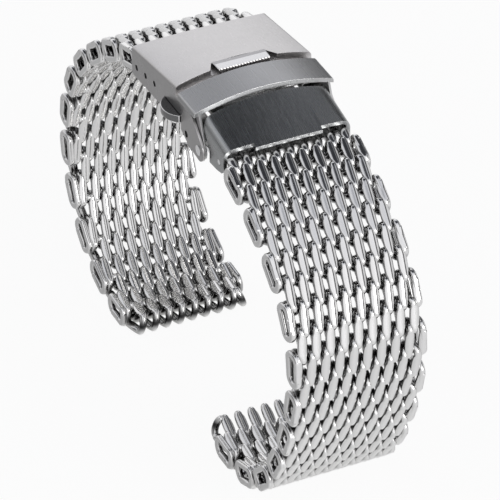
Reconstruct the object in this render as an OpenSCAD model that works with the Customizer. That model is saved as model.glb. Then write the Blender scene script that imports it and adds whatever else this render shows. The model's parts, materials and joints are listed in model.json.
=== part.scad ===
/* [Strap] */
// Width of the mesh at the watch, which is the lug width it fits
strap_w = 22; // [20:2:24]
// Thickness of the mesh
strap_t = 4; // [3.9:0.1:4.1]
// Diameter of the wire that the mesh is wound from
wire_d = 0.9; // [0.85:0.01:0.91]
// Distance from one row of the mesh to the next, along the strap
row_pitch = 3.85; // [3.8:0.01:3.9]
// Length of one row along the strap, over its wire
row_l = 6.6; // [6.6:0.05:6.7]

/* [Clasp] */
// Thickness of the sheet that the clasp's cover is pressed from
cover_sheet = 0.9; // [0.8:0.05:0.9]
// Height of the arch across the safety flap and the cover's front
crown = 1.9; // [1.2:0.1:2.2]
// How far each push button stands out of the cover
button_reach = 1.7; // [1.2:0.1:1.8]
// How far apart the holes for the adjustable spring bar are
adjust_pitch = 3.4; // [3:0.1:3.5]
// Diameter of the spring bars
bar_d = 1.5; // [1.3:0.1:1.5]

/* [Hidden] */
HALVES = ["front", "back"];
ROWS = 23;
function row_name(half, row) = str(half, "_mesh_row_", row < 9 ? "0" : "", row + 1);
CLASP_NODES = [
    "clasp_cover", "safety_flap", "flap_rivets", "cover_hinge_pin", "upper_blade",
    "blade_hinge_pin", "lower_blade", "end_bracket", "push_button_left",
    "push_button_right", "button_spring", "button_guide", "adjust_spring_bar",
    "bracket_spring_bar"
];

// X runs across the strap, Z is up, and -Y is the half of the strap nearest the viewer.
// The clasp is drawn with Z = 0 near its lower edge, and everything is moved to the floor at the end.

// The mesh: how its wires run in one row
loops = round((strap_w - wire_d) / 2.35);
loop_pitch = (strap_w - wire_d) / loops;
rise = strap_t - wire_d;
bend_wire_d = wire_d - 0.02;
wire_lap = 0.03;
wire_facets = 24;
bend_facets = 32;
function bend_d(lean) = norm([lean, rise]);
wire_l = row_l - bend_d(loop_pitch / 2) - wire_d;
bar_fit = 0.105;
bar_to_row = wire_l / 2 + (bend_d(loop_pitch / 2) - bend_wire_d - bar_d) / 2 - bar_fit;

// The shape that the strap stands in: how far the first row dips towards the watch end,
// and how far the rows turn after that, where each number is for two neighbouring joints.
first_dip = [10, 11];
turn_pairs = [
    [8, 3.5, 7, 12, 12, 6.5, 3, 5.5, 12, 12.5, 7.5],
    [6, 5.5, 4, 6, 8, 9, 8.5, 9, 10.5, 11, 11]
];

// Where the clasp's pins, bars and edges are, as [y, z]
front_bar = [-12.6, 1.4];
back_bar = [16.15, 1.7];
cover_hinge = [-2.5, 0.6];
blade_hinge = [12, 0.2];
flap_pivot = [-7.06, 0.4];

// Fits: round a turning pin, at the side of a moving piece, and round a push button
pin_fit = 0.06;
pin_recess = 0.35;
side_fit = 0.08;
button_fit = 0.15;
round_facets = 48;
arch_steps = 24;
corner_steps = 4;

// The cover. Its domed sheets run between two arched edges, each given as [y, z at the sides, arch]
clasp_w = strap_w + 1.1;
inner_w = clasp_w - 2 * cover_sheet;
cover_corner = 0.5;
cover_rear = [17.85, 4.7, 0.3];
cover_front = [1.3, 7, crown - 0.1];
ledge_rear_y = 3.8;
ledge_z = 5.5;
below = -6;
above = 14;
wall_end_t = 0.4;
wall_end_r = 1.8;
wall_step_y = cover_hinge[0] - 0.75;
notch_w = [11.3, 9.1];
notch_l = 2.2;
catch_half_w = 4.5;
catch_y = [0.7, 3.4];
catch_z = [6.9, 8.3];
notch_floor_z = 7.42;
catch_teeth = 18;
tooth_depth = 0.35;
adjust_holes = 3;
adjust_rise = 0.53;
function adjust_hole(i) = back_bar + i * [-adjust_pitch, adjust_rise];

// Pins and bars
pin_d = 1.2;
rivet_d = 1.2;
rivet_head_d = 1.7;
rivet_head_t = 0.12;
bar_tip_d = 0.9;
bar_tip_gap = 0.25;

// The safety flap
flap_w = strap_w + 1.6;
flap_sheet = 0.8;
flap_corner = 0.35;
flap_y = [-6.1, 0.1];
flap_gap = 0.2;
flap_z = ledge_z + flap_gap + flap_sheet;
flap_arm_t = 0.3;
flap_arm_r = 1.6;
flap_arm_x = clasp_w / 2 - wall_end_t - side_fit;

// The folding blades
blade_t = 0.7;
barrel_r = 1.05;
rail_x = [inner_w / 2 - 4.7, inner_w / 2 - 1.1];
upper_half_w = rail_x[0] - 0.3;
rail_z = [-1, -0.2];
rail_end_y = -10.3;
bridge_y = -4.4;
lug_x = [rail_x[0] + 2.25, rail_x[0] + 2.85];
lug_y = [1.2, 3.8];
lug_top = 1.25;
lug_frame = 0.4;
lug_window = [0.2, 0.9];

// The end bracket
bracket_w = 2 * (flap_arm_x - flap_arm_t - side_fit);
bracket_sheet = 0.6;
bracket_corner = 1.4;
bracket_rear = [-6.6, 5.6, crown - 0.1];
bracket_front = [-14.2, 3.95, 0.15];
tab_reach = 0.8;
tab_half_w = 5.65;
foot_y = [rail_end_y, -9.4];
foot_t = 0.5;

// The push buttons, which slide along X through slots in the cover
button_y = 2.5;
button_z = 2.1;
button_w = 5.9;
button_t = 1.3;
button_r = 3.7;
button_lap = 0.4;
arm_w = 2.6;
arm_t = 1;
arm_end_x = upper_half_w - 1;
hook_x = [lug_x[0] - 1.05, lug_x[0] - 0.45];
hook_w = 1.6;
hook_low = 0.35;
nose_reach = lug_x[0] - side_fit;
nose_t = 0.4;
guide_t = 0.5;
guide_half_l = 2.9;
cheek_t = 0.25;
cheek_end_x = lug_x[0] - 1.95;

// The spring between the buttons
spring_r = 0.6;
spring_wire = 0.25;
spring_turns = 8;
turn_steps = 14;
wire_sides = 6;

// The rows of one half, from the clasp to the watch end, as [y, z, dip]
function side_of(half) = half == 0 ? -1 : 1;
function bar_of(half) = half == 0 ? front_bar : back_bar;
function turned(half, joint) = turn_pairs[half][floor(joint / 2)];
function step(half, dip, length) = [side_of(half) * length * cos(dip), -length * sin(dip)];
function next_rows(half, rows) =
    len(rows) == ROWS ? rows :
    let (
        last = rows[len(rows) - 1],
        dip = last[2] + turned(half, len(rows) - 1),
        place = [last[0], last[1]] + step(half, last[2], row_pitch / 2) + step(half, dip, row_pitch / 2)
    )
    next_rows(half, concat(rows, [[place[0], place[1], dip]]));
function half_rows(half) =
    let (place = bar_of(half) + step(half, first_dip[half], bar_to_row))
    next_rows(half, [[place[0], place[1], first_dip[half]]]);
all_rows = [for (half = [0, 1]) half_rows(half)];

// How far a row reaches from its centre, up and down and to the sides
function reach_z(row) = wire_l / 2 * abs(sin(row[2])) + strap_t / 2;
function reach_y(row) = wire_l / 2 * abs(cos(row[2])) + strap_t / 2;
floor_z = min([for (rows = all_rows, row = rows) row[1] - reach_z(row)]);
front_y = min([for (row = all_rows[0]) row[0] - reach_y(row)]);
back_y = max([for (row = all_rows[1]) row[0] + reach_y(row)]);
stand = [0, -(front_y + back_y) / 2, -floor_z];

// One straight stretch of wire, along the strap
module wire_straight(x, z) {
    translate([x, 0, z])
        rotate([90, 0, 0])
            cylinder(d = wire_d, h = wire_l + 2 * wire_lap, center = true, $fn = wire_facets);
}

// The half turn that joins an outer wire to an inner one, at the watch end (1) or the clasp end (-1)
module wire_bend(x_outer, x_inner, end) {
    lean = x_outer - x_inner;
    translate([(x_outer + x_inner) / 2, end * wire_l / 2, 0])
        rotate([0, atan(lean / rise), 0])
            rotate([0, -90, 0])
                rotate([0, 0, end > 0 ? 0 : 180])
                    rotate_extrude(angle = 180, $fn = bend_facets)
                        translate([bend_d(lean) / 2, 0])
                            circle(d = bend_wire_d, $fn = wire_facets);
}

// One row of mesh: a single wire wound into a flat spiral across the strap.
// Wide rows end in an upright ring at each edge, and the narrow rows between them in a leaning one.
module mesh_row(wide) {
    count = wide ? loops + 1 : loops;
    outer = [for (i = [0 : count - 1]) (i - (count - 1) / 2) * loop_pitch];
    inner = [for (i = [1 : count - 1]) outer[i] - loop_pitch / 2];
    for (x = outer) wire_straight(x, rise / 2);
    for (x = inner) {
        wire_straight(x, -rise / 2);
        wire_bend(x - loop_pitch / 2, x, 1);
        wire_bend(x + loop_pitch / 2, x, -1);
    }
    if (wide) {
        for (x = [outer[0], outer[count - 1]]) {
            wire_straight(x, -rise / 2);
            for (end = [-1, 1]) wire_bend(x, x, end);
        }
    } else {
        wire_bend(outer[0], inner[0], -1);
        wire_bend(outer[count - 1], inner[count - 2], 1);
    }
}

// A row where it stands, in the front half or the back one
module placed_row(half, row) {
    place = all_rows[half][row];
    color("silver")
        translate([0, place[0], place[1]])
            rotate([0, 0, half == 0 ? 180 : 0])
                rotate([-place[2], 0, 0])
                    mesh_row(row % 2 == 1);
}

// A plate cut to an outline of [y, z] points, from one X to another
module side_plate(points, from, to) {
    translate([from, 0, 0])
        rotate([90, 0, 90])
            linear_extrude(to - from) polygon(points);
}

// A round bar along X
module cross_bar(place, diameter, from, to) {
    translate([from, place[0], place[1]])
        rotate([0, 90, 0])
            cylinder(d = diameter, h = to - from, $fn = round_facets);
}

// A block between two X, two Y and two Z values
module block(x, y, z) {
    translate([x[0], y[0], z[0]]) cube([x[1] - x[0], y[1] - y[0], z[1] - z[0]]);
}

module both_sides() {
    children();
    mirror([1, 0, 0]) children();
}

// The outline of everything below an arched edge, across the clasp, with its two corners rounded
function arch_top(edge_z, arch, half_w, x, fall) = [x, edge_z + arch * (1 - pow(x / half_w, 2)) - fall];
function arch_corner(corner, half_w, turn) = [half_w - corner + corner * sin(turn), corner * (1 - cos(turn))];
function arch_outline(edge_z, arch, half_w, corner) =
    let (
        flat_half = half_w - corner,
        turns = [for (i = [1 : corner_steps]) 90 * i / corner_steps],
        rounded = corner > 0 ? [for (turn = turns) arch_corner(corner, half_w, turn)] : [],
        count = len(rounded)
    )
    concat(
        [for (i = [1 : 1 : count]) let (p = rounded[count - i]) arch_top(edge_z, arch, half_w, -p[0], p[1])],
        [
            for (i = [0 : arch_steps])
                arch_top(edge_z, arch, half_w, flat_half * (2 * i / arch_steps - 1), 0)
        ],
        [for (p = rounded) arch_top(edge_z, arch, half_w, p[0], p[1])],
        [[half_w, below], [-half_w, below]]
    );

// Everything below a sheet that is arched alike from one Y to another
module arched_block(from, to, edge_z, arch, half_w, corner = 0) {
    translate([0, to, 0])
        rotate([90, 0, 0])
            linear_extrude(to - from) polygon(arch_outline(edge_z, arch, half_w, corner));
}

// Everything below a domed sheet that runs between two arched edges, the rear one first
module dome(rear, front, half_w, drop = 0, corner = 0) {
    function end(edge) =
        [for (p = arch_outline(edge[1] - drop, edge[2], half_w, corner)) [p[0], edge[0], p[1]]];
    count = len(end(rear));
    sides = [
        for (i = [0 : count - 1])
            let (n = (i + 1) % count) each [[i, n, count + n], [i, count + n, count + i]]
    ];
    rear_face = [for (i = [1 : count]) count - i];
    front_face = [for (i = [0 : count - 1]) count + i];
    polyhedron(concat(end(rear), end(front)), concat([rear_face], sides, [front_face]));
}

// An arched edge of the cover at any Y, between its rear and front ones
function cover_edge(y) =
    let (share = (cover_rear[0] - y) / (cover_rear[0] - cover_front[0]))
    cover_rear + share * (cover_front - cover_rear);
function moved(edge, y) = [y, edge[1], edge[2]];

// Where a line from a point touches a circle, on its left side (1) or its right side (-1)
function tangent_point(point, centre, radius, side) =
    let (
        away = point - centre,
        angle = atan2(away[1], away[0]) + side * acos(radius / norm(away))
    )
    centre + radius * [cos(angle), sin(angle)];

// The outline of the cover's walls, and of their thinner ends in front, which carry the flap's rivets
cover_side = [
    [cover_rear[0] + 1, above], [cover_rear[0], cover_rear[1]], [cover_rear[0], -0.3], [8, 0.3],
    [button_y - button_w / 2, 0.4], [wall_step_y, -0.9], [wall_step_y, above]
];
wall_top = [-4.4, 5.2];
wall_end = [
    [wall_step_y + 0.5, -0.9], [wall_step_y + 0.5, ledge_z], [wall_top[0] + 1, ledge_z - 0.05], wall_top,
    tangent_point(wall_top, flap_pivot, wall_end_r, 1), flap_pivot,
    tangent_point([wall_step_y, -0.9], flap_pivot, wall_end_r, -1), [wall_step_y, -0.9]
];

// The slot that the push buttons stand out of, open at the wall's lower edge
module button_slot() {
    block(
        [-clasp_w, clasp_w],
        [button_y - button_w / 2 - button_fit, button_y + button_w / 2 + button_fit],
        [below, button_z + button_t / 2 + button_fit]
    );
}

module notch() {
    wide = notch_w[0] / 2;
    narrow = notch_w[1] / 2;
    front = cover_front[0];
    translate([0, 0, notch_floor_z])
        linear_extrude(above)
            polygon([
                [-wide, front - 1], [-wide, front], [-narrow, front + notch_l],
                [narrow, front + notch_l], [wide, front], [wide, front - 1]
            ]);
}

// The toothed catch in the cover's notch, which the safety flap snaps on to
module knurled_catch() {
    tooth = 2 * catch_half_w / catch_teeth;
    edge = [
        for (i = [0 : catch_teeth - 1], cut = [0, 1])
            [-catch_half_w + tooth * (i + 0.25 + 0.5 * cut), catch_y[0] + cut * tooth_depth]
    ];
    translate([0, 0, catch_z[0]])
        linear_extrude(catch_z[1] - catch_z[0])
            polygon(concat(edge, [[catch_half_w, catch_y[1]], [-catch_half_w, catch_y[1]]]));
}

// The cover: a pressed channel over the folded blades, with a low ledge in front for the safety flap
module clasp_cover() {
    color("lightgray")
        difference() {
            union() {
                intersection() {
                    union() {
                        dome(cover_rear, cover_front, clasp_w / 2, corner = cover_corner);
                        arched_block(wall_step_y, ledge_rear_y, ledge_z, crown, clasp_w / 2, cover_corner);
                    }
                    side_plate(cover_side, -clasp_w / 2, clasp_w / 2);
                }
                both_sides() {
                    side_plate(wall_end, clasp_w / 2 - wall_end_t, clasp_w / 2);
                    cross_bar(flap_pivot, 2 * wall_end_r, clasp_w / 2 - wall_end_t, clasp_w / 2);
                }
            }
            dome(moved(cover_rear, cover_rear[0] + 1), cover_edge(ledge_rear_y), inner_w / 2, cover_sheet);
            arched_block(wall_step_y - 1, ledge_rear_y + 0.1, ledge_z - cover_sheet, crown, inner_w / 2);
            notch();
            button_slot();
            for (i = [0 : adjust_holes - 1])
                cross_bar(adjust_hole(i), bar_tip_d + 2 * pin_fit, -clasp_w, clasp_w);
            cross_bar(cover_hinge, pin_d, -clasp_w, clasp_w);
            cross_bar(flap_pivot, rivet_d, -clasp_w, clasp_w);
        }
    color("white") knurled_catch();
}

// The safety flap: an arched plate on two thin arms that turn on rivets inside the cover's walls
flap_arm_top = [flap_y[0] + 0.05, flap_y[0] + 2.7];
flap_arm = [
    [flap_arm_top[0], flap_z], [flap_arm_top[1], flap_z],
    tangent_point([flap_arm_top[1], flap_z], flap_pivot, flap_arm_r, -1), flap_pivot,
    tangent_point([flap_arm_top[0], flap_z], flap_pivot, flap_arm_r, 1)
];
module safety_flap() {
    color("gray")
        difference() {
            union() {
                difference() {
                    arched_block(flap_y[0], flap_y[1], flap_z, crown, flap_w / 2, flap_corner);
                    arched_block(flap_y[0] - 1, flap_y[1] + 1, flap_z - flap_sheet, crown, flap_w / 2);
                }
                both_sides() {
                    side_plate(flap_arm, flap_arm_x - flap_arm_t, flap_arm_x);
                    cross_bar(flap_pivot, 2 * flap_arm_r, flap_arm_x - flap_arm_t, flap_arm_x);
                }
            }
            cross_bar(flap_pivot, rivet_d + 2 * pin_fit, -clasp_w, clasp_w);
        }
}

module flap_rivets() {
    color("silver")
        both_sides() {
            cross_bar(flap_pivot, rivet_d, flap_arm_x - flap_arm_t, clasp_w / 2);
            cross_bar(flap_pivot, rivet_head_d, clasp_w / 2, clasp_w / 2 + rivet_head_t);
        }
}

module cover_hinge_pin() {
    color("silver")
        cross_bar(cover_hinge, pin_d, -clasp_w / 2 + pin_recess, clasp_w / 2 - pin_recess);
}

module blade_hinge_pin() {
    color("silver") cross_bar(blade_hinge, pin_d, -rail_x[1], rail_x[1]);
}

// The upper blade: a narrow plate between the cover's hinge and the lower blade's
module upper_blade() {
    half_t = [0, blade_t / 2];
    color("silver")
        difference() {
            union() {
                side_plate(
                    [cover_hinge - half_t, blade_hinge - half_t, blade_hinge + half_t, cover_hinge + half_t],
                    -upper_half_w, upper_half_w
                );
                for (hinge = [cover_hinge, blade_hinge])
                    cross_bar(hinge, 2 * barrel_r, -upper_half_w, upper_half_w);
            }
            for (hinge = [cover_hinge, blade_hinge])
                cross_bar(hinge, pin_d + 2 * pin_fit, -clasp_w, clasp_w);
        }
}

// The lower blade: two rails beside the upper blade, a bridge in front and a latch lug on each rail
module lower_blade() {
    color("silver")
        difference() {
            union() {
                both_sides() {
                    block(rail_x, [rail_end_y, blade_hinge[0]], rail_z);
                    cross_bar(blade_hinge, 2 * barrel_r, rail_x[0], rail_x[1]);
                    block(lug_x, lug_y, [rail_z[0], lug_top]);
                }
                block([-rail_x[1], rail_x[1]], [rail_end_y, bridge_y], rail_z);
            }
            cross_bar(blade_hinge, pin_d, -clasp_w, clasp_w);
            block([-clasp_w, clasp_w], [lug_y[0] + lug_frame, lug_y[1] - lug_frame], lug_window);
        }
}

// The end bracket: a domed plate with side walls that hold the front half's spring bar
bracket_side = [
    [bracket_rear[0] + 1, above], [bracket_rear[0], 4.6], [-7.9, 3.3], [-9.2, 1.2], [-9.2, -0.7],
    [-11.8, -0.5], [-13.6, -0.1], [bracket_front[0] - 0.1, 0.6], [bracket_front[0], 2],
    [bracket_front[0] - tab_reach, 3], [bracket_front[0] - tab_reach, above]
];
module end_bracket() {
    color("dimgray")
        difference() {
            union() {
                difference() {
                    intersection() {
                        dome(
                            bracket_rear, moved(bracket_front, bracket_front[0] - tab_reach), bracket_w / 2,
                            corner = bracket_corner
                        );
                        side_plate(bracket_side, -bracket_w / 2, bracket_w / 2);
                    }
                    dome(
                        moved(bracket_rear, bracket_rear[0] + 0.1),
                        moved(bracket_front, bracket_front[0] - tab_reach - 0.1),
                        bracket_w / 2 - bracket_sheet, bracket_sheet, bracket_corner - bracket_sheet
                    );
                }
                block([-bracket_w / 2, bracket_w / 2], foot_y, [rail_z[1], rail_z[1] + foot_t]);
            }
            both_sides()
                block([tab_half_w, clasp_w], [bracket_front[0] - 2, bracket_front[0]], [2, above]);
            cross_bar(front_bar, bar_tip_d + 2 * pin_fit, -clasp_w, clasp_w);
        }
}

// A push button: a half moon outside, an arm inside and a hook that reaches down to the lug
module push_button() {
    flat_z = [button_z - arm_t / 2, button_z + arm_t / 2];
    arm_y = [button_y - arm_w / 2, button_y + arm_w / 2];
    hook_y = [button_y - hook_w / 2, button_y + hook_w / 2];
    intersection() {
        translate([clasp_w / 2 + button_reach - button_r, button_y, button_z])
            cylinder(r = button_r, h = button_t, center = true, $fn = 2 * round_facets);
        block(
            [clasp_w / 2 + button_reach - button_r - button_lap, clasp_w],
            [button_y - button_w / 2, button_y + button_w / 2], [0, above]
        );
    }
    block([arm_end_x, clasp_w / 2 - button_r / 2], arm_y, flat_z);
    block(hook_x, hook_y, [hook_low, button_z]);
    block([hook_x[0], nose_reach], hook_y, [hook_low, hook_low + nose_t]);
}

// The guide: a plate across the cover above the buttons' arms, with a cheek on each side of them
module button_guide() {
    plate_z = button_z + button_t / 2 + button_fit;
    cheek_y = arm_w / 2 + side_fit;
    color("silver") {
        block(
            [-inner_w / 2, inner_w / 2], [button_y - guide_half_l, button_y + guide_half_l],
            [plate_z, plate_z + guide_t]
        );
        for (side = [-1, 1])
            translate([0, button_y + side * (cheek_y + cheek_t / 2), 0])
                block(
                    [-cheek_end_x, cheek_end_x], [-cheek_t / 2, cheek_t / 2],
                    [button_z - arm_t / 2, plate_z + guide_t]
                );
    }
}

// The spring that pushes the two buttons apart: one wire, swept along a helix
module button_spring() {
    steps = spring_turns * turn_steps;
    length = 2 * arm_end_x - spring_wire;
    function centre(i) =
        [length * (i / steps - 0.5), spring_r * cos(360 * i / turn_steps), spring_r * sin(360 * i / turn_steps)];
    function ring(i) = [
        for (k = [0 : wire_sides - 1])
            let (out = spring_wire / 2 * cos(360 * k / wire_sides), turn = 360 * i / turn_steps)
            centre(i) + [spring_wire / 2 * sin(360 * k / wire_sides), out * cos(turn), out * sin(turn)]
    ];
    points = [for (i = [0 : steps]) each ring(i)];
    function quad(i, k) =
        let (a = i * wire_sides + k, b = i * wire_sides + (k + 1) % wire_sides)
        [[a, b, b + wire_sides], [a, b + wire_sides, a + wire_sides]];
    sides = [for (i = [0 : steps - 1], k = [0 : wire_sides - 1]) each quad(i, k)];
    first = [for (k = [0 : wire_sides - 1]) wire_sides - 1 - k];
    last = [for (k = [0 : wire_sides - 1]) steps * wire_sides + k];
    color("silver")
        translate([0, button_y, button_z])
            polyhedron(points, concat(sides, [first, last]));
}

// A spring bar: a tube and the two sprung tips that stand out of it
module spring_bar(place, tube_half_l, tip_half_l) {
    color("silver") {
        cross_bar(place, bar_d, -tube_half_l, tube_half_l);
        both_sides() cross_bar(place, bar_tip_d, tube_half_l, tip_half_l);
    }
}

translate(stand) {
    clasp_cover();
    safety_flap();
    flap_rivets();
    cover_hinge_pin();
    upper_blade();
    blade_hinge_pin();
    lower_blade();
    end_bracket();
    color("lightgray") mirror([1, 0, 0]) push_button();  // push_button_left
    color("lightgray") push_button();  // push_button_right
    button_spring();
    button_guide();
    spring_bar(back_bar, inner_w / 2 - bar_tip_gap, clasp_w / 2 - bar_tip_gap);  // adjust_spring_bar
    spring_bar(front_bar, bracket_w / 2 - bracket_sheet - bar_tip_gap, bracket_w / 2);  // bracket_spring_bar
    for (half = [0, 1], row = [0 : ROWS - 1])
        placed_row(half, row);
}
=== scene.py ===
# A mesh watch bracelet with a folding safety clasp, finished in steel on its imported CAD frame.
import json
import math

import bmesh
import bpy
from mathutils import Matrix, Vector

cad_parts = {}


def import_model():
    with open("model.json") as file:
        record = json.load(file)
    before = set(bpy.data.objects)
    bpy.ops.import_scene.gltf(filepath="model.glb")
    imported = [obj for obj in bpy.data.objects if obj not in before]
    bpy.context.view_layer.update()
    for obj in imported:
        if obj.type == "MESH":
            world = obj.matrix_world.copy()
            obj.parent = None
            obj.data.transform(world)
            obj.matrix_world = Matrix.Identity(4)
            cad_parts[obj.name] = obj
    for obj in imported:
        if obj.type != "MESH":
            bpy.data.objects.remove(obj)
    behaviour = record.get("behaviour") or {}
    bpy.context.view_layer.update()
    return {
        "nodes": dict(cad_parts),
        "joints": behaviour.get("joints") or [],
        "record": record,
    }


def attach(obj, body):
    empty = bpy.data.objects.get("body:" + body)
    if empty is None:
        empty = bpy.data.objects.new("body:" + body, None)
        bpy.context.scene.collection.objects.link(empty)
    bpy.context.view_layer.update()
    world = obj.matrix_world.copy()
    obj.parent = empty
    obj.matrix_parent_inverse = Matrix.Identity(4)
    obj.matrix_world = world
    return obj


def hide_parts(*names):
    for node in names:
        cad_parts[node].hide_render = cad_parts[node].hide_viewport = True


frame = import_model()

# Lengths are in millimetres, and become metres where they meet Blender
MM = 0.001

# The camera, at the photograph's angle: its turn and tilt in degrees, and its aim from the bracket's bar
CAMERA_TURN = -25.12
CAMERA_TILT = 35.29
CAMERA_DISTANCE = 714.7
CAMERA_AIM = (0.0, 12.6, -26.4)
NEAREST_SEEN = 10.0
FARTHEST_SEEN = 10000.0
FOCAL_PIXELS = 4530.5
IMAGE_PIXELS = 500
PRINCIPAL_POINT = (247.44, 243.48)
SENSOR_WIDTH = 36.0

# The mesh, as the part's source has it
HALVES = ("front", "back")
ROWS = 23
ROW_PITCH = 3.85
STRAP_W = 22.0
STRAP_T = 4.0
WIRE_D = 0.9
WIRE_RISE = STRAP_T - WIRE_D
LOOPS = 9
LOOP_PITCH = (STRAP_W - WIRE_D) / LOOPS

# The faces of the mesh. A wire runs towards the watch on the outer one, and back on the inner one
OUTER = 1
INNER = -1

# How a coil looks: long stretches on both faces, fat in their middle, and thinner bends between them
STRETCH_L = 3.1
STRETCH_R = 0.8
STRETCH_LEAN = 0.4
LENS_POWER = 0.25
BEND_R = 0.58
COIL_HALF_L = 2.66

# The upright rings at the strap's edges
RING_R = 0.58
RING_RISE = 2.84
RING_HALF_L = 2.6

# How finely the wires are drawn
PATH_STEP = 0.3
FEWEST_STRETCH_STEPS = 2
FEWEST_BEND_STEPS = 6
SMOOTHING_ROUNDS = 2
WIRE_SIDES = 16

# How the faces are ground: their height over the strap's middle, their edges' softness, and their crown
FACE_Z = 1.91
GROUND_SOFTNESS = 0.05
FLAT_CROWN = 0.55

# Painted shade: wire is darkened up to the first height over the strap's middle, and left bright from the
# second or at an edge
SHADED_BELOW = 0.3
UNSHADED_ABOVE = 1.25
EDGE_DEPTH = 0.9

# How far the edges of the clasp's pieces are rounded
ROUNDING = {
    "clasp_cover": 0.12, "safety_flap": 0.1, "end_bracket": 0.24, "lower_blade": 0.08,
    "upper_blade": 0.08, "push_button_left": 0.12, "push_button_right": 0.12, "button_guide": 0.06,
}
ROUNDING_STEPS = 3

# Edges sharper than the first angle are rounded, and faces that meet below the second one become one face
SHARP_ANGLE = math.radians(35)
FLAT_ANGLE = math.radians(0.6)
WELD_DISTANCE = 0.002
LARGE_FACE_WEIGHT = 100

# Painted shade in the cover's side holes, as dark tubes with closed ends, with the adjusting holes where
# the source has them
WALL_X = 11.53
HOLE_R = 0.49
HOLE_DEPTH = 0.5
HOLE_SIDES = 24
ADJUST_HOLES = 3
ADJUST_STEP = (0.0, -3.4, 0.53)

# The polished ramp on the cover's catch, counted from the flap's pivot
CATCH_HALF_W = 4.3
CATCH_Y = (8.05, 10.4)
CATCH_Z = 7.86
CATCH_RISE = 0.13

# The range that nearly all values of a noise lie in
NOISE_RANGE = (0.3, 0.7)

# The steels: clouds of tint per metre, the height of the grain, and grains per metre along X, Y and Z
CLOUDS = 160.0
RELIEF = 0.02
ALONG_STRAP = (9000.0, 260.0, 260.0)
SATIN = (5000.0, 900.0, 900.0)
EVEN = (3500.0, 3500.0, 3500.0)
# In these looks, side and the darkening of wire deep in the mesh are painted shade on sideways faces and
# between the rows
LOOKS = {
    "mesh_wire": {
        "colour": (0.88, 0.875, 0.865), "roughness": 0.12, "spread": 0.03, "shade": 0.04,
        "grain": EVEN, "bump": 0.02, "side": 0.55, "deep_shade": 0.05,
    },
    "cover_satin": {
        "colour": (0.68, 0.665, 0.66), "roughness": 0.3, "spread": 0.04, "shade": 0.03,
        "grain": SATIN, "bump": 0.12, "side": 0.38,
    },
    "flap_brushed": {
        "colour": (0.55, 0.55, 0.55), "roughness": 0.3, "spread": 0.06, "shade": 0.03,
        "grain": ALONG_STRAP, "bump": 0.2, "side": 0.45,
    },
    "bracket_satin": {
        "colour": (0.5, 0.51, 0.51), "roughness": 0.27, "spread": 0.05, "shade": 0.03,
        "grain": ALONG_STRAP, "bump": 0.2, "side": 0.5,
    },
    "blade_steel": {
        "colour": (0.75, 0.75, 0.75), "roughness": 0.18, "spread": 0.05, "shade": 0.03,
        "grain": ALONG_STRAP, "bump": 0.1,
    },
    # The buttons' near-black colour is painted shade: their faces lie in shadow
    "button_steel": {
        "colour": (0.16, 0.16, 0.16), "roughness": 0.3, "spread": 0.05, "shade": 0.04,
        "grain": EVEN, "bump": 0.15,
    },
    "pin_steel": {
        "colour": (0.6, 0.6, 0.6), "roughness": 0.2, "spread": 0.05, "shade": 0.04,
        "grain": EVEN, "bump": 0.1,
    },
    "spring_steel": {
        "colour": (0.6, 0.6, 0.6), "roughness": 0.25, "spread": 0.05, "shade": 0.04,
        "grain": EVEN, "bump": 0.1,
    },
    # Near-black painted shade for the insides of the side holes
    "painted_hole_shade": {
        "colour": (0.06, 0.06, 0.06), "roughness": 0.5, "spread": 0.05, "shade": 0.01,
        "grain": EVEN, "bump": 0.1,
    },
    "polished_edge": {
        "colour": (0.93, 0.92, 0.91), "roughness": 0.18, "spread": 0.02, "shade": 0.02,
        "grain": EVEN, "bump": 0.0,
    },
}

# The sky as pairs of place and level. The place is 1 straight along OVERHEAD and 0 at right angles to it
OVERHEAD = (0.1, 0.35, 0.93)
SKY_STOPS = (
    (0.0, 1.0), (0.4, 1.0), (0.6, 0.95), (0.68, 0.85), (0.76, 0.78),
    (0.83, 0.72), (0.89, 0.5), (0.92, 0.05), (1.0, 0.035),
)

# The share of the sky's light that a dark flag at each side leaves, from far left at 0 to far right at 1
FLAG_STOPS = (
    (0.0, 0.6), (0.06, 0.2), (0.11, 0.2), (0.17, 1.0),
    (0.74, 1.0), (0.8, 0.12), (0.89, 0.08), (0.93, 0.8),
)

# The sky's green and blue, as shares of its red, where it is dark and where it is white
DARK_TINT = (1.05, 1.2)
WHITE_TINT = (1.0, 1.02)

# The one lamp, in metres and watts
LAMP_PLACE = (0.25, -0.75, 0.35)
LAMP_TARGET = (0.0, 0.0, 0.03)
LAMP_SIZE = 0.5
LAMP_POWER = 2.0

# The floor: half its size in metres, and its own glow, as the camera sees it and as the steel mirrors it
FLOOR_HALF_SIZE = 3.0
FLOOR_COLOUR = (0.9, 0.9, 0.9, 1.0)
FLOOR_ROUGHNESS = 0.9
FLOOR_GLOW = 0.93
MIRRORED_GLOW = 0.35
WHITE = (1.0, 1.0, 1.0, 1.0)


def joint_places():
    """Where each hinge of the record is, in metres."""
    return {joint["name"]: Vector(joint["pos_m"]) for joint in frame["joints"] if "pos_m" in joint}


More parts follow.
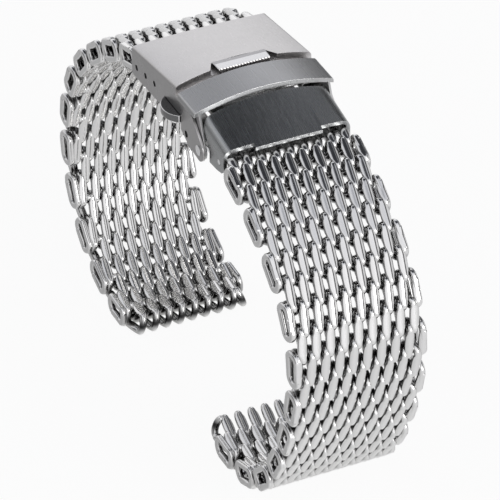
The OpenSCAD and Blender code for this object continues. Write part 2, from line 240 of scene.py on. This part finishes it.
def camera():
    """The camera, placed as it was fitted to the photograph."""
    turn = math.radians(CAMERA_TURN)
    tilt = math.radians(CAMERA_TILT)
    view = Vector((-math.sin(turn) * math.cos(tilt), math.cos(turn) * math.cos(tilt), -math.sin(tilt)))
    right = Vector((math.cos(turn), math.sin(turn), 0.0))
    up = right.cross(view)
    data = bpy.data.cameras.new("camera")
    data.sensor_width = SENSOR_WIDTH
    data.lens = FOCAL_PIXELS / IMAGE_PIXELS * SENSOR_WIDTH
    data.shift_x = (IMAGE_PIXELS / 2 - PRINCIPAL_POINT[0]) / IMAGE_PIXELS
    data.shift_y = (PRINCIPAL_POINT[1] - IMAGE_PIXELS / 2) / IMAGE_PIXELS
    data.clip_start = NEAREST_SEEN * MM
    data.clip_end = FARTHEST_SEEN * MM
    holder = bpy.data.objects.new("camera", data)
    bpy.context.scene.collection.objects.link(holder)
    bar = joint_places()["front_row_01_hinge"]
    place = bar + (Vector(CAMERA_AIM) - CAMERA_DISTANCE * view) * MM
    holder.matrix_world = Matrix((
        (right.x, up.x, -view.x, place.x),
        (right.y, up.y, -view.y, place.y),
        (right.z, up.z, -view.z, place.z),
        (0.0, 0.0, 0.0, 1.0),
    ))
    bpy.context.scene.camera = holder


# Materials

def shader(name):
    """A new material, with its nodes, its links and its shader."""
    material = bpy.data.materials.new(name)
    material.use_nodes = True
    nodes = material.node_tree.nodes
    return material, nodes, material.node_tree.links, nodes["Principled BSDF"]


def add_node(nodes, kind, **values):
    """A new node, with each value on the input or the setting of that name."""
    node = nodes.new(kind)
    for key, value in values.items():
        if key in node.inputs:
            node.inputs[key].default_value = value
        else:
            setattr(node, key, value)
    return node


def remapped(nodes, links, source, low, high):
    """A noise socket, stretched so that it runs from low to high."""
    node = add_node(nodes, "ShaderNodeMapRange")
    node.inputs["From Min"].default_value, node.inputs["From Max"].default_value = NOISE_RANGE
    node.inputs["To Min"].default_value = low
    node.inputs["To Max"].default_value = high
    links.new(source, node.inputs["Value"])
    return node.outputs["Result"]


def darkened(nodes, links, source, colour, dark):
    """A colour socket with painted shade, cut to the share dark where source is 0 and left whole where it
    is 1.
    """
    level = add_node(nodes, "ShaderNodeMapRange")
    level.inputs["To Min"].default_value = dark
    links.new(source, level.inputs["Value"])
    product = add_node(nodes, "ShaderNodeVectorMath", operation="SCALE")
    links.new(colour, product.inputs[0])
    links.new(level.outputs["Result"], product.inputs["Scale"])
    return product.outputs["Vector"]


def steel(name, colour, roughness, spread, shade, grain, bump, side=1.0, deep_shade=1.0):
    """Steel whose grain is a noise, stretched to the grain's counts per metre.

    Its roughness varies by spread and its colour by shade. As painted shade, faces that look sideways are
    darkened to the share side of their colour, and wire deep in the mesh to the share given for it.
    """
    material, nodes, links, body = shader(name)
    body.inputs["Metallic"].default_value = 1.0
    place = add_node(nodes, "ShaderNodeTexCoord")
    stretch = add_node(nodes, "ShaderNodeMapping")
    stretch.inputs["Scale"].default_value = grain
    links.new(place.outputs["Object"], stretch.inputs["Vector"])
    lines = add_node(nodes, "ShaderNodeTexNoise", Scale=1.0, Detail=4.0, Roughness=0.6)
    links.new(stretch.outputs["Vector"], lines.inputs["Vector"])
    clouds = add_node(nodes, "ShaderNodeTexNoise", Scale=CLOUDS, Detail=2.0)
    links.new(place.outputs["Object"], clouds.inputs["Vector"])
    gloss = remapped(nodes, links, lines.outputs["Fac"], roughness - spread, roughness + spread)
    links.new(gloss, body.inputs["Roughness"])
    tint = add_node(nodes, "ShaderNodeMix", data_type="RGBA")
    tint.inputs["A"].default_value = (*[max(0.0, channel - shade) for channel in colour], 1.0)
    tint.inputs["B"].default_value = (*[min(1.0, channel + shade) for channel in colour], 1.0)
    links.new(clouds.outputs["Fac"], tint.inputs["Factor"])
    tone = tint.outputs["Result"]
    # Painted shade: faces that look sideways are darkened
    if side < 1.0:
        facing = add_node(nodes, "ShaderNodeNewGeometry")
        apart = add_node(nodes, "ShaderNodeSeparateXYZ")
        links.new(facing.outputs["Normal"], apart.inputs["Vector"])
        sideways = add_node(nodes, "ShaderNodeMath", operation="MULTIPLY")
        links.new(apart.outputs["X"], sideways.inputs[0])
        links.new(apart.outputs["X"], sideways.inputs[1])
        level = add_node(nodes, "ShaderNodeMath", operation="SUBTRACT")
        level.inputs[0].default_value = 1.0
        links.new(sideways.outputs["Value"], level.inputs[1])
        tone = darkened(nodes, links, level.outputs["Value"], tone, side)
    # Painted shade: wire deep in the mesh is darkened by the share stored on its points
    if deep_shade < 1.0:
        unshaded_node = add_node(nodes, "ShaderNodeAttribute", attribute_name="unshaded_share")
        tone = darkened(nodes, links, unshaded_node.outputs["Fac"], tone, deep_shade)
    links.new(tone, body.inputs["Base Color"])
    relief = add_node(nodes, "ShaderNodeBump", Strength=bump)
    relief.inputs["Distance"].default_value = RELIEF * MM
    links.new(lines.outputs["Fac"], relief.inputs["Height"])
    links.new(relief.outputs["Normal"], body.inputs["Normal"])
    return material


STEELS = {name: steel(name, **look) for name, look in LOOKS.items()}


# The mesh rows, wound again as real coils, and ground flat on both faces and at the edges

def mount_places():
    """Where the record's mounts are, in metres."""
    return {mount["name"]: Vector(mount["pos_m"]) for mount in frame["record"]["mounts"]}


def row_name(half, row):
    """The body of a row, counted from 0 at the clasp."""
    return f"{half}_row_{row + 1:02d}"


def row_matrix(half, row, joints, mounts):
    """A row's own axes in the frame: X across, Y towards the watch and Z outward."""
    near = joints[row_name(half, row) + "_hinge"]
    if row < ROWS - 1:
        far = joints[row_name(half, row + 1) + "_hinge"]
        along = (far - near).normalized()
        centre = far - along * ROW_PITCH / 2 * MM
    else:
        along = (mounts[half + "_watch_bar"] - near).normalized()
        centre = near + along * ROW_PITCH / 2 * MM
    across = Vector((-1.0 if half == "front" else 1.0, 0.0, 0.0))
    outward = across.cross(along)
    return Matrix((
        (across.x, along.x, outward.x, centre.x),
        (across.y, along.y, outward.y, centre.y),
        (across.z, along.z, outward.z, centre.z),
        (0.0, 0.0, 0.0, 1.0),
    ))


def stretch_points(x, side, lean=STRETCH_LEAN, rise=WIRE_RISE, thin=BEND_R, thick=STRETCH_R):
    """A straight stretch of wire on one of the faces, as points with the wire's radius there."""
    steps = max(FEWEST_STRETCH_STEPS, round(STRETCH_L / PATH_STEP))
    points = []
    for i in range(steps + 1):
        share = i / steps
        fat = max(0.0, math.sin(math.pi * share)) ** LENS_POWER
        y = side * STRETCH_L * (share - 0.5)
        z = side * rise / 2
        points.append((x + lean * (share - 0.5), y, z, thin + (thick - thin) * fat))
    return points


def bend_points(x_from, x_to, side, rise=WIRE_RISE, half_l=COIL_HALF_L, radius=BEND_R):
    """The half turn at the end of a stretch, from its face to the other one."""
    reach = half_l - STRETCH_L / 2
    steps = max(FEWEST_BEND_STEPS, round(math.pi * rise / 2 / PATH_STEP))
    points = []
    for i in range(1, steps):
        turn = math.pi * i / steps
        share = (1 - math.cos(turn)) / 2
        y = side * (STRETCH_L / 2 + reach * math.sin(turn))
        z = side * rise / 2 * math.cos(turn)
        points.append((x_from + (x_to - x_from) * share, y, z, radius))
    return points


def coil_path(wide):
    """The wire of one row. A wide row has one loop more, and ends in the rings at the strap's edges."""
    count = LOOPS + 1 if wide else LOOPS
    outer = [(i - (count - 1) / 2) * LOOP_PITCH for i in range(count)]
    inner = [x + LOOP_PITCH / 2 for x in outer[:-1]]
    lean = STRETCH_LEAN
    path = []
    if not wide:
        path += bend_points(inner[0] - lean / 2, outer[0] - lean / 2, INNER)
    for i in range(count):
        path += stretch_points(outer[i], OUTER)
        if i < count - 1:
            path += bend_points(outer[i] + lean / 2, inner[i] - lean / 2, OUTER)
            path += stretch_points(inner[i], INNER)
            path += bend_points(inner[i] + lean / 2, outer[i + 1] - lean / 2, INNER)
    if not wide:
        path += bend_points(outer[-1] + lean / 2, inner[-1] + lean / 2, OUTER)
    return path


def ring_path(x):
    """The upright ring at an edge of a wide row."""
    path = []
    for side in (OUTER, INNER):
        path += stretch_points(x, side, 0.0, RING_RISE, RING_R, RING_R)
        path += bend_points(x, x, side, RING_RISE, RING_HALF_L, RING_R)
    return path


def neighbours(path, i, closed):
    """The points before and after one of a path. At an open end, one of them is the point itself."""
    if closed:
        return path[i - 1], path[(i + 1) % len(path)]
    return path[max(0, i - 1)], path[min(len(path) - 1, i + 1)]


def smoothed(path):
    """An open path with its kinks across the strap rounded off."""
    for _ in range(SMOOTHING_ROUNDS):
        fresh = []
        for i, point in enumerate(path):
            before, after = neighbours(path, i, False)
            fresh.append(((before[0] + 2 * point[0] + after[0]) / 4, *point[1:]))
        path = fresh
    return path


def ground(value, limit):
    """A value held below a limit, as grinding does, with a slightly rounded edge."""
    over = abs(value) - limit + GROUND_SOFTNESS
    if over <= 0:
        return value
    kept = limit - GROUND_SOFTNESS + GROUND_SOFTNESS * math.tanh(over / GROUND_SOFTNESS)
    return math.copysign(kept, value)


def unshaded_share(spot):
    """How far a spot of the wire escapes the painted shade, from 0 deep between the rows to 1 on the
    faces and edges.
    """
    height = (abs(spot.z) - SHADED_BELOW) / (UNSHADED_ABOVE - SHADED_BELOW)
    side = (abs(spot.x) - STRAP_W / 2 + EDGE_DEPTH) / EDGE_DEPTH
    return min(1.0, max(0.0, height, side))


def join_rings(bm, one, other):
    """A band of faces between two rings that have as many points."""
    for k in range(len(one)):
        n = (k + 1) % len(one)
        bm.faces.new((one[k], one[n], other[n], other[k]))


def sweep(bm, path, closed, place):
    """A wire along a path of points that each carry its radius."""
    shade = bm.verts.layers.float.get("unshaded_share") or bm.verts.layers.float.new("unshaded_share")
    rings = []
    for i, (x, y, z, radius) in enumerate(path):
        before, after = neighbours(path, i, closed)
        tangent = (Vector(after[:3]) - Vector(before[:3])).normalized()
        side = Vector((0.0, -tangent.z, tangent.y)).normalized()
        across = side.cross(tangent)
        ring = []
        for k in range(WIRE_SIDES):
            angle = 2 * math.pi * k / WIRE_SIDES
            spot = Vector((x, y, z)) + radius * (math.cos(angle) * across + math.sin(angle) * side)
            spot.x = ground(spot.x, STRAP_W / 2)
            spot.z = ground(spot.z, FACE_Z - FLAT_CROWN * (spot.x - x) ** 2)
            vert = bm.verts.new(place @ (spot * MM))
            # How far this spot escapes the painted shade deep in the mesh
            vert[shade] = unshaded_share(spot)
            ring.append(vert)
        rings.append(ring)
    for one, other in zip(rings, rings[1:]):
        join_rings(bm, one, other)
    if closed:
        join_rings(bm, rings[-1], rings[0])
    else:
        bm.faces.new(list(reversed(rings[0])))
        bm.faces.new(rings[-1])


def linked_mesh(name, bm, *materials):
    """A smooth piece in the scene, made from a bmesh that this uses up."""
    mesh = bpy.data.meshes.new(name)
    bmesh.ops.recalc_face_normals(bm, faces=bm.faces)
    bm.to_mesh(mesh)
    bm.free()
    for material in materials:
        mesh.materials.append(material)
    for face in mesh.polygons:
        face.use_smooth = True
    piece = bpy.data.objects.new(name, mesh)
    bpy.context.scene.collection.objects.link(piece)
    return piece


def mesh_rows():
    """Every row of both halves, each in place of its CAD node."""
    joints = joint_places()
    mounts = mount_places()
    coils = {wide: smoothed(coil_path(wide)) for wide in (False, True)}
    edge = LOOPS / 2 * LOOP_PITCH
    for half in HALVES:
        for row in range(ROWS):
            wide = row % 2 == 1
            place = row_matrix(half, row, joints, mounts)
            bm = bmesh.new()
            sweep(bm, coils[wide], False, place)
            if wide:
                for x in (-edge, edge):
                    sweep(bm, ring_path(x), True, place)
            name = row_name(half, row)
            piece = linked_mesh(name + "_wire", bm, STEELS["mesh_wire"])
            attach(piece, name)
            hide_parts(f"{half}_mesh_row_{row + 1:02d}")


# The clasp's pieces: the same shapes with their edges rounded and polished

def body_of(node):
    """The body that a CAD node rides on."""
    bodies = frame["record"]["behaviour"]["bodies"]
    return next(name for name, nodes in bodies.items() if node in nodes)


def slot_of(node):
    """The material slot of a CAD node."""
    return next(part["material_slot"] for part in frame["record"]["subparts"] if part["node"] == node)


def rounded(node, width):
    """A copy of a CAD node with rounded, polished edges, in the node's place."""
    bm = bmesh.new()
    bm.from_mesh(frame["nodes"][node].data)
    bmesh.ops.remove_doubles(bm, verts=bm.verts, dist=WELD_DISTANCE * MM)
    bmesh.ops.dissolve_limit(bm, angle_limit=FLAT_ANGLE, verts=bm.verts, edges=bm.edges)
    slot = slot_of(node)
    materials = [STEELS[slot], STEELS["polished_edge"]]
    piece = linked_mesh(node + "_finished", bm, *materials)
    edges = piece.modifiers.new("edges", "BEVEL")
    edges.width = width * MM
    edges.segments = ROUNDING_STEPS
    edges.limit_method = "ANGLE"
    edges.angle_limit = SHARP_ANGLE
    edges.material = materials.index(STEELS["polished_edge"])
    normals = piece.modifiers.new("normals", "WEIGHTED_NORMAL")
    normals.weight = LARGE_FACE_WEIGHT
    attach(piece, body_of(node))
    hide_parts(node)


def hole_shade_pieces():
    """Painted shade in the cover's side holes: dark tubes with closed ends in the adjusting holes and in
    the one of its hinge pin.
    """
    joints = joint_places()
    bar = joints["back_row_01_hinge"]
    places = [bar + i * Vector(ADJUST_STEP) * MM for i in range(ADJUST_HOLES)]
    places.append(joints["cover_hinge"])
    bm = bmesh.new()
    for place in places:
        for side in (-1, 1):
            mouth = []
            end = []
            for k in range(HOLE_SIDES):
                angle = 2 * math.pi * k / HOLE_SIDES
                y = HOLE_R * math.cos(angle)
                z = HOLE_R * math.sin(angle)
                mouth.append(bm.verts.new(place + Vector((side * WALL_X, y, z)) * MM))
                end.append(bm.verts.new(place + Vector((side * (WALL_X - HOLE_DEPTH), y, z)) * MM))
            join_rings(bm, mouth, end)
            bm.faces.new(end)
    piece = linked_mesh("hole_shade_pieces", bm, STEELS["painted_hole_shade"])
    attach(piece, "cover")


def catch_ramp():
    """The polished top of the toothed catch, which rises a little towards its teeth."""
    pivot = joint_places()["flap_hinge"] / MM
    bm = bmesh.new()
    foot, head, back = [
        [bm.verts.new((pivot + Vector((x, y, z))) * MM) for x in (-CATCH_HALF_W, CATCH_HALF_W)]
        for y, z in ((CATCH_Y[0], CATCH_Z), (CATCH_Y[0], CATCH_Z + CATCH_RISE), (CATCH_Y[1], CATCH_Z))
    ]
    for corners in (
        (foot[0], foot[1], head[1], head[0]),
        (head[0], head[1], back[1], back[0]),
        (foot[0], head[0], back[0]),
        (foot[1], back[1], head[1]),
        (foot[1], foot[0], back[0], back[1]),
    ):
        bm.faces.new(corners)
    piece = linked_mesh("catch_ramp", bm, STEELS["polished_edge"])
    for face in piece.data.polygons:
        face.use_smooth = False
    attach(piece, "cover")


def clasp():
    """The clasp's finished pieces, and the steel of the CAD nodes that stay."""
    for node, width in ROUNDING.items():
        rounded(node, width)
    catch_ramp()
    hole_shade_pieces()
    for node, holder in frame["nodes"].items():
        holder.data.materials.clear()
        holder.data.materials.append(STEELS[slot_of(node)])


# The studio

def grey(level):
    """A plain grey, as a colour."""
    return level, level, level, 1.0


def sky_colour(level):
    """The sky's colour at a brightness, bluish where it is dark."""
    green, blue = [dark + (white - dark) * level for dark, white in zip(DARK_TINT, WHITE_TINT)]
    return level, level * green, level * blue, 1.0


def filled_ramp(nodes, stops, colour):
    """A colour ramp with the given stops, each a place and a level that becomes a colour."""
    node = add_node(nodes, "ShaderNodeValToRGB")
    elements = node.color_ramp.elements
    while len(elements) < len(stops):
        elements.new(0.5)
    for element, (position, level) in zip(elements, stops):
        element.position = position
        element.color = colour(level)
    return node


def world():
    """A sky that is bright all round, and dark overhead and at two flags, as the clasp reflects it."""
    scene_world = bpy.data.worlds.new("studio")
    bpy.context.scene.world = scene_world
    scene_world.use_nodes = True
    nodes = scene_world.node_tree.nodes
    links = scene_world.node_tree.links
    nodes.clear()
    place = add_node(nodes, "ShaderNodeTexCoord")
    overhead = add_node(nodes, "ShaderNodeVectorMath", operation="DOT_PRODUCT")
    overhead.inputs[1].default_value = Vector(OVERHEAD).normalized()
    links.new(place.outputs["Generated"], overhead.inputs[0])
    sky = filled_ramp(nodes, SKY_STOPS, sky_colour)
    links.new(overhead.outputs["Value"], sky.inputs["Fac"])
    apart = add_node(nodes, "ShaderNodeSeparateXYZ")
    links.new(place.outputs["Generated"], apart.inputs["Vector"])
    sideways = add_node(nodes, "ShaderNodeMapRange")
    sideways.inputs["From Min"].default_value = -1.0
    links.new(apart.outputs["X"], sideways.inputs["Value"])
    flags = filled_ramp(nodes, FLAG_STOPS, grey)
    links.new(sideways.outputs["Result"], flags.inputs["Fac"])
    both = add_node(nodes, "ShaderNodeMix", data_type="RGBA", blend_type="MULTIPLY")
    both.inputs["Factor"].default_value = 1.0
    links.new(sky.outputs["Color"], both.inputs["A"])
    links.new(flags.outputs["Color"], both.inputs["B"])
    rays = add_node(nodes, "ShaderNodeLightPath")
    seen = add_node(nodes, "ShaderNodeMix", data_type="RGBA")
    seen.inputs["B"].default_value = WHITE
    links.new(rays.outputs["Is Camera Ray"], seen.inputs["Factor"])
    links.new(both.outputs["Result"], seen.inputs["A"])
    glow = add_node(nodes, "ShaderNodeBackground", Strength=1.0)
    links.new(seen.outputs["Result"], glow.inputs["Color"])
    out = add_node(nodes, "ShaderNodeOutputWorld")
    links.new(glow.outputs["Background"], out.inputs["Surface"])


def lamp():
    """A soft round lamp in front of the object."""
    data = bpy.data.lights.new("front_box", "AREA")
    data.shape = "DISK"
    data.size = LAMP_SIZE
    data.energy = LAMP_POWER
    holder = bpy.data.objects.new("front_box", data)
    bpy.context.scene.collection.objects.link(holder)
    holder.location = LAMP_PLACE
    away = Vector(LAMP_TARGET) - Vector(LAMP_PLACE)
    holder.rotation_euler = away.to_track_quat("-Z", "Y").to_euler()


def floor():
    """A pale floor with a glow of its own, which still takes the object's shadow."""
    bm = bmesh.new()
    bmesh.ops.create_grid(bm, x_segments=1, y_segments=1, size=FLOOR_HALF_SIZE)
    material, nodes, links, body = shader("floor")
    body.inputs["Base Color"].default_value = FLOOR_COLOUR
    body.inputs["Roughness"].default_value = FLOOR_ROUGHNESS
    rays = add_node(nodes, "ShaderNodeLightPath")
    glow = add_node(nodes, "ShaderNodeEmission", Strength=1.0)
    mixed = add_node(nodes, "ShaderNodeMixShader")
    seen = add_node(nodes, "ShaderNodeMath", operation="MULTIPLY")
    seen.inputs[1].default_value = FLOOR_GLOW
    links.new(rays.outputs["Is Camera Ray"], seen.inputs[0])
    share = add_node(nodes, "ShaderNodeMath", operation="MULTIPLY_ADD")
    share.inputs[1].default_value = MIRRORED_GLOW
    links.new(rays.outputs["Is Glossy Ray"], share.inputs[0])
    links.new(seen.outputs["Value"], share.inputs[2])
    links.new(share.outputs["Value"], mixed.inputs["Fac"])
    links.new(body.outputs["BSDF"], mixed.inputs[1])
    links.new(glow.outputs["Emission"], mixed.inputs[2])
    links.new(mixed.outputs["Shader"], nodes["Material Output"].inputs["Surface"])
    piece = linked_mesh("floor", bm, material)


camera()
world()
floor()
lamp()
mesh_rows()
clasp()

bpy.context.scene.view_settings.view_transform = "Standard"
